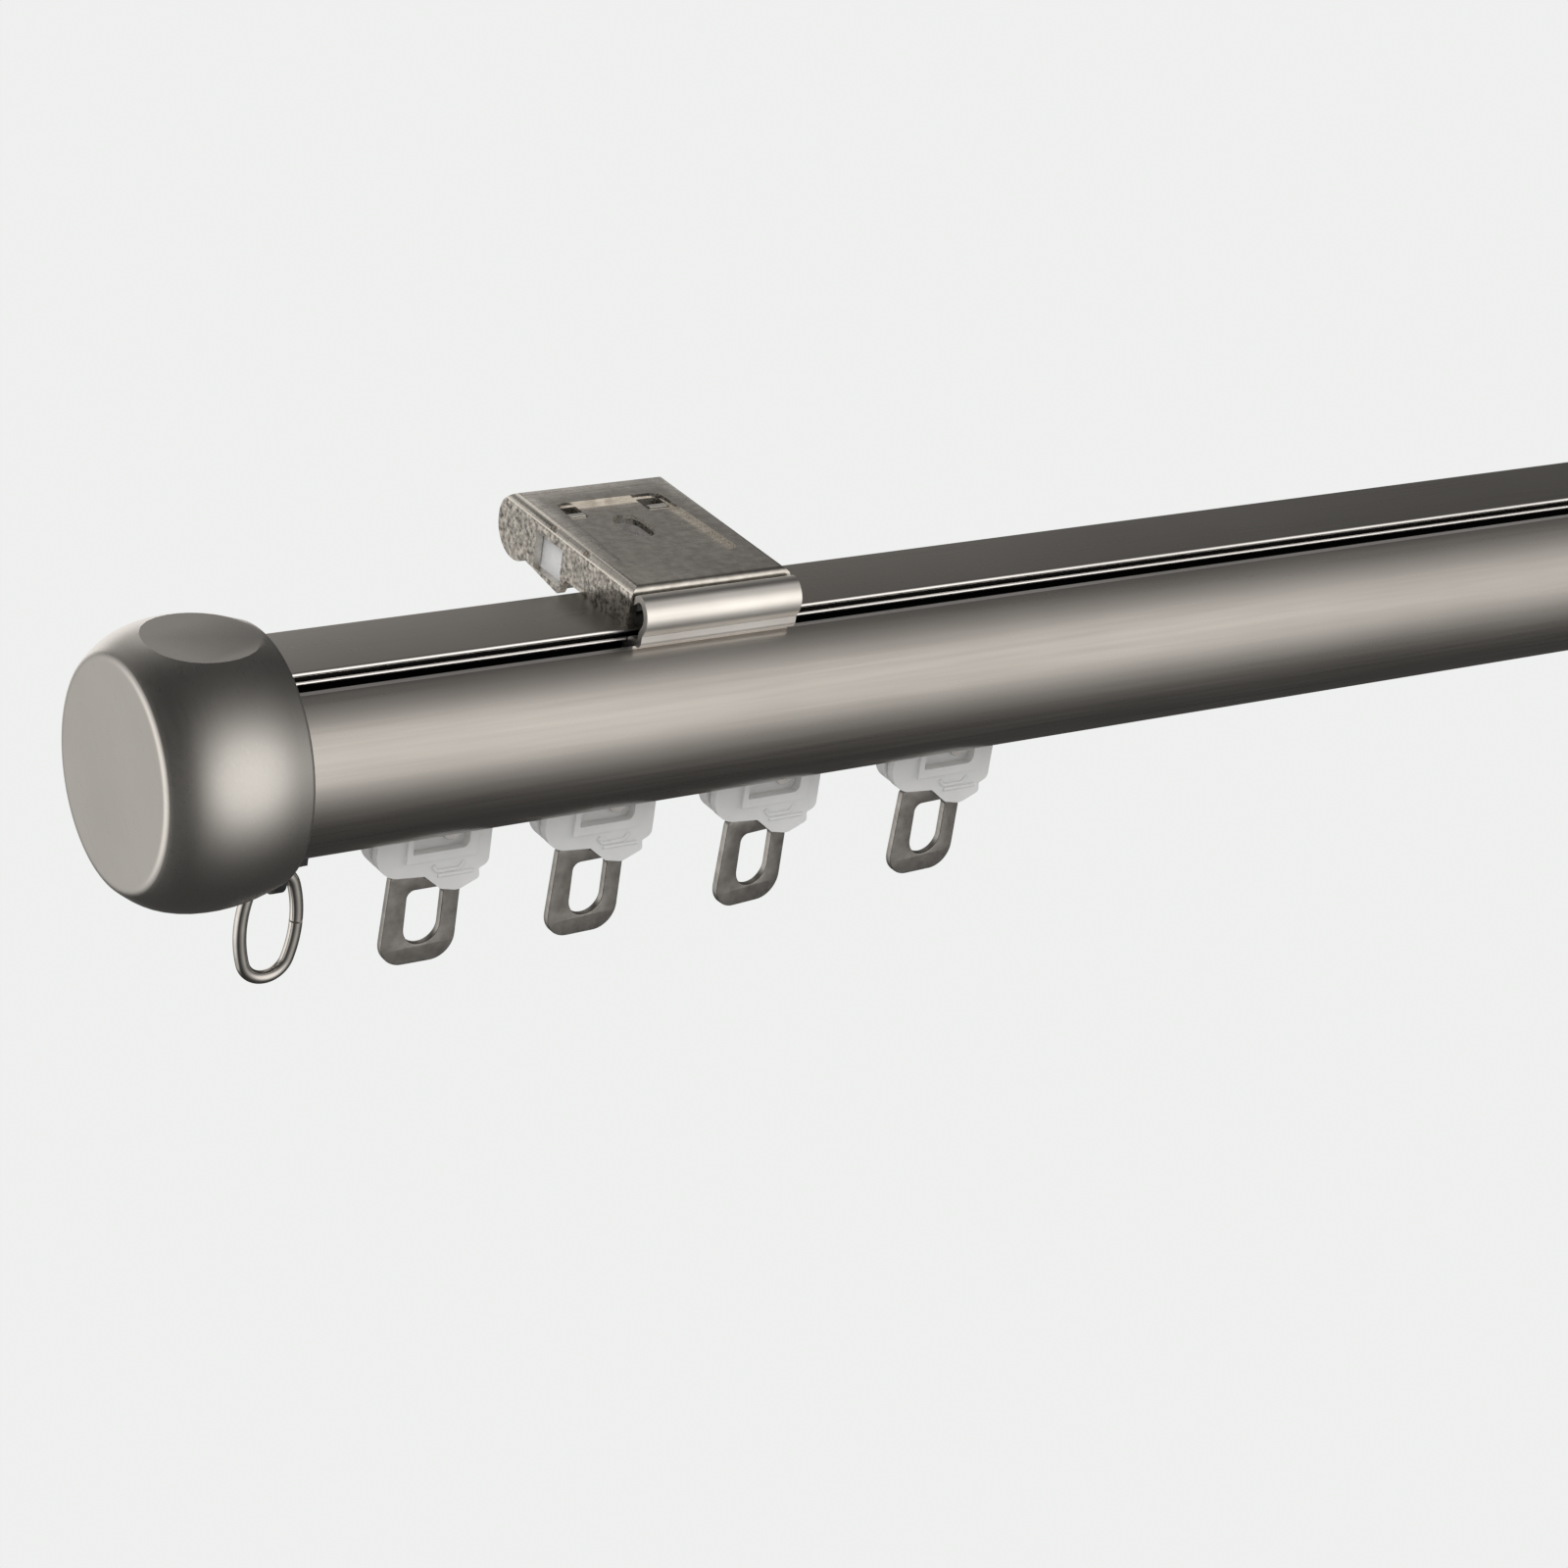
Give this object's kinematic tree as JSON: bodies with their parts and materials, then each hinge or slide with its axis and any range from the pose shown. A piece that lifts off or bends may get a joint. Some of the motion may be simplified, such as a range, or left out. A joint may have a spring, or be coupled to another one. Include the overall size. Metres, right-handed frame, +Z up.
{
  "type": "curtain track",
  "caption": "Round aluminium curtain track with a T-shaped head, end caps, ceiling brackets, hanging end rings and small wheeled runners with swivelling metal eyes.",
  "frame": {"origin": "the centre of the rail's flat top face, half way along the track", "axes": "+X along the rail, to the right in the picture; +Y away from the viewer, into the room's wall side; +Z up"},
  "size_m": [0.605, 0.0398, 0.0472],
  "materials": {
    "rail_aluminium": "satin extruded",
    "cap_metal": "satin cast",
    "stop_plastic": "moulded dark grey",
    "ring_chrome": "bright wire",
    "bracket_steel": "nickel plated",
    "hook_steel": "bright nickel plated",
    "latch_plastic": "white moulded",
    "spring_steel": "spring strip",
    "runner_plastic": "milky moulded",
    "rivet_metal": "plain",
    "eye_metal": "dull plated",
    "axle_steel": "drawn rod",
    "wheel_plastic": "moulded"
  },
  "bodies": {
    "track": {"rail": "rail_aluminium", "end_cap_left": "cap_metal", "end_stop_left": "stop_plastic", "bracket_body_left": "bracket_steel", "bracket_hook_left": "hook_steel", "latch_spring_left": "spring_steel", "end_cap_right": "cap_metal", "end_stop_right": "stop_plastic", "bracket_body_right": "bracket_steel", "bracket_hook_right": "hook_steel", "latch_spring_right": "spring_steel"},
    "ring_left": {"end_ring_left": "ring_chrome"},
    "latch_left": {"bracket_latch_left": "latch_plastic"},
    "ring_right": {"end_ring_right": "ring_chrome"},
    "latch_right": {"bracket_latch_right": "latch_plastic"},
    "runner_1": {"runner_1_carrier": "runner_plastic", "runner_1_skirt": "runner_plastic", "runner_1_rivet": "rivet_metal"},
    "eye_1": {"runner_1_eye": "eye_metal"},
    "wheels_1_left": {"runner_1_axle_left": "axle_steel", "runner_1_wheel_left_front": "wheel_plastic", "runner_1_wheel_left_back": "wheel_plastic"},
    "wheels_1_right": {"runner_1_axle_right": "axle_steel", "runner_1_wheel_right_front": "wheel_plastic", "runner_1_wheel_right_back": "wheel_plastic"},
    "runner_2": {"runner_2_carrier": "runner_plastic", "runner_2_skirt": "runner_plastic", "runner_2_rivet": "rivet_metal"},
    "eye_2": {"runner_2_eye": "eye_metal"},
    "wheels_2_left": {"runner_2_axle_left": "axle_steel", "runner_2_wheel_left_front": "wheel_plastic", "runner_2_wheel_left_back": "wheel_plastic"},
    "wheels_2_right": {"runner_2_axle_right": "axle_steel", "runner_2_wheel_right_front": "wheel_plastic", "runner_2_wheel_right_back": "wheel_plastic"},
    "runner_3": {"runner_3_carrier": "runner_plastic", "runner_3_skirt": "runner_plastic", "runner_3_rivet": "rivet_metal"},
    "eye_3": {"runner_3_eye": "eye_metal"},
    "wheels_3_left": {"runner_3_axle_left": "axle_steel", "runner_3_wheel_left_front": "wheel_plastic", "runner_3_wheel_left_back": "wheel_plastic"},
    "wheels_3_right": {"runner_3_axle_right": "axle_steel", "runner_3_wheel_right_front": "wheel_plastic", "runner_3_wheel_right_back": "wheel_plastic"},
    "runner_4": {"runner_4_carrier": "runner_plastic", "runner_4_skirt": "runner_plastic", "runner_4_rivet": "rivet_metal"},
    "eye_4": {"runner_4_eye": "eye_metal"},
    "wheels_4_left": {"runner_4_axle_left": "axle_steel", "runner_4_wheel_left_front": "wheel_plastic", "runner_4_wheel_left_back": "wheel_plastic"},
    "wheels_4_right": {"runner_4_axle_right": "axle_steel", "runner_4_wheel_right_front": "wheel_plastic", "runner_4_wheel_right_back": "wheel_plastic"}
  },
  "joints": [
    {"name": "end_ring_left_swing", "type": "hinge", "parent": "track", "child": "ring_left", "pos_m": [-0.2819, 0, -0.02695], "axis": [1, 0, 0], "range_deg": [-85, 85]},
    {"name": "latch_left_press", "type": "slide", "parent": "track", "child": "latch_left", "axis": [0, 1, 0], "range_m": [0, 0.0005], "stiffness_N_per_m": 300, "deforming": ["latch_spring_left"]},
    {"name": "end_ring_right_swing", "type": "hinge", "parent": "track", "child": "ring_right", "pos_m": [0.2819, 0, -0.02695], "axis": [1, 0, 0], "range_deg": [-85, 85]},
    {"name": "latch_right_press", "type": "slide", "parent": "track", "child": "latch_right", "axis": [0, 1, 0], "range_m": [0, 0.0005], "stiffness_N_per_m": 300, "deforming": ["latch_spring_right"]},
    {"name": "runner_1_glide", "type": "slide", "parent": "track", "child": "runner_1", "axis": [1, 0, 0], "range_m": [-0.0072, 0.115]},
    {"name": "eye_1_swivel", "type": "hinge", "parent": "runner_1", "child": "eye_1", "pos_m": [-0.262, 0.00035, -0.0283], "axis": [0, 0, 1], "range_deg": [-5, 12]},
    {"name": "wheels_1_left_roll", "type": "hinge", "parent": "runner_1", "child": "wheels_1_left", "pos_m": [-0.2664, 0, -0.01775], "axis": [0, 1, 0], "continuous": true},
    {"name": "wheels_1_right_roll", "type": "hinge", "parent": "runner_1", "child": "wheels_1_right", "pos_m": [-0.258, 0, -0.01775], "axis": [0, 1, 0], "continuous": true},
    {"name": "runner_2_glide", "type": "slide", "parent": "runner_1", "child": "runner_2", "axis": [1, 0, 0], "range_m": [-0.0061, 0.115]},
    {"name": "eye_2_swivel", "type": "hinge", "parent": "runner_2", "child": "eye_2", "pos_m": [-0.24, 0.00035, -0.0283], "axis": [0, 0, 1], "range_deg": [-7, 10]},
    {"name": "wheels_2_left_roll", "type": "hinge", "parent": "runner_2", "child": "wheels_2_left", "pos_m": [-0.2444, 0, -0.01775], "axis": [0, 1, 0], "continuous": true},
    {"name": "wheels_2_right_roll", "type": "hinge", "parent": "runner_2", "child": "wheels_2_right", "pos_m": [-0.236, 0, -0.01775], "axis": [0, 1, 0], "continuous": true},
    {"name": "runner_3_glide", "type": "slide", "parent": "runner_2", "child": "runner_3", "axis": [1, 0, 0], "range_m": [-0.0074, 0.115]},
    {"name": "eye_3_swivel", "type": "hinge", "parent": "runner_3", "child": "eye_3", "pos_m": [-0.2167, 0.00035, -0.0283], "axis": [0, 0, 1], "range_deg": [-11, 6]},
    {"name": "wheels_3_left_roll", "type": "hinge", "parent": "runner_3", "child": "wheels_3_left", "pos_m": [-0.2211, 0, -0.01775], "axis": [0, 1, 0], "continuous": true},
    {"name": "wheels_3_right_roll", "type": "hinge", "parent": "runner_3", "child": "wheels_3_right", "pos_m": [-0.2127, 0, -0.01775], "axis": [0, 1, 0], "continuous": true},
    {"name": "runner_4_glide", "type": "slide", "parent": "runner_3", "child": "runner_4", "axis": [1, 0, 0], "range_m": [-0.0098, 0.115]},
    {"name": "eye_4_swivel", "type": "hinge", "parent": "runner_4", "child": "eye_4", "pos_m": [-0.191, 0.00035, -0.0283], "axis": [0, 0, 1], "range_deg": [-8, 9]},
    {"name": "wheels_4_left_roll", "type": "hinge", "parent": "runner_4", "child": "wheels_4_left", "pos_m": [-0.1954, 0, -0.01775], "axis": [0, 1, 0], "continuous": true},
    {"name": "wheels_4_right_roll", "type": "hinge", "parent": "runner_4", "child": "wheels_4_right", "pos_m": [-0.187, 0, -0.01775], "axis": [0, 1, 0], "continuous": true}
  ]
}
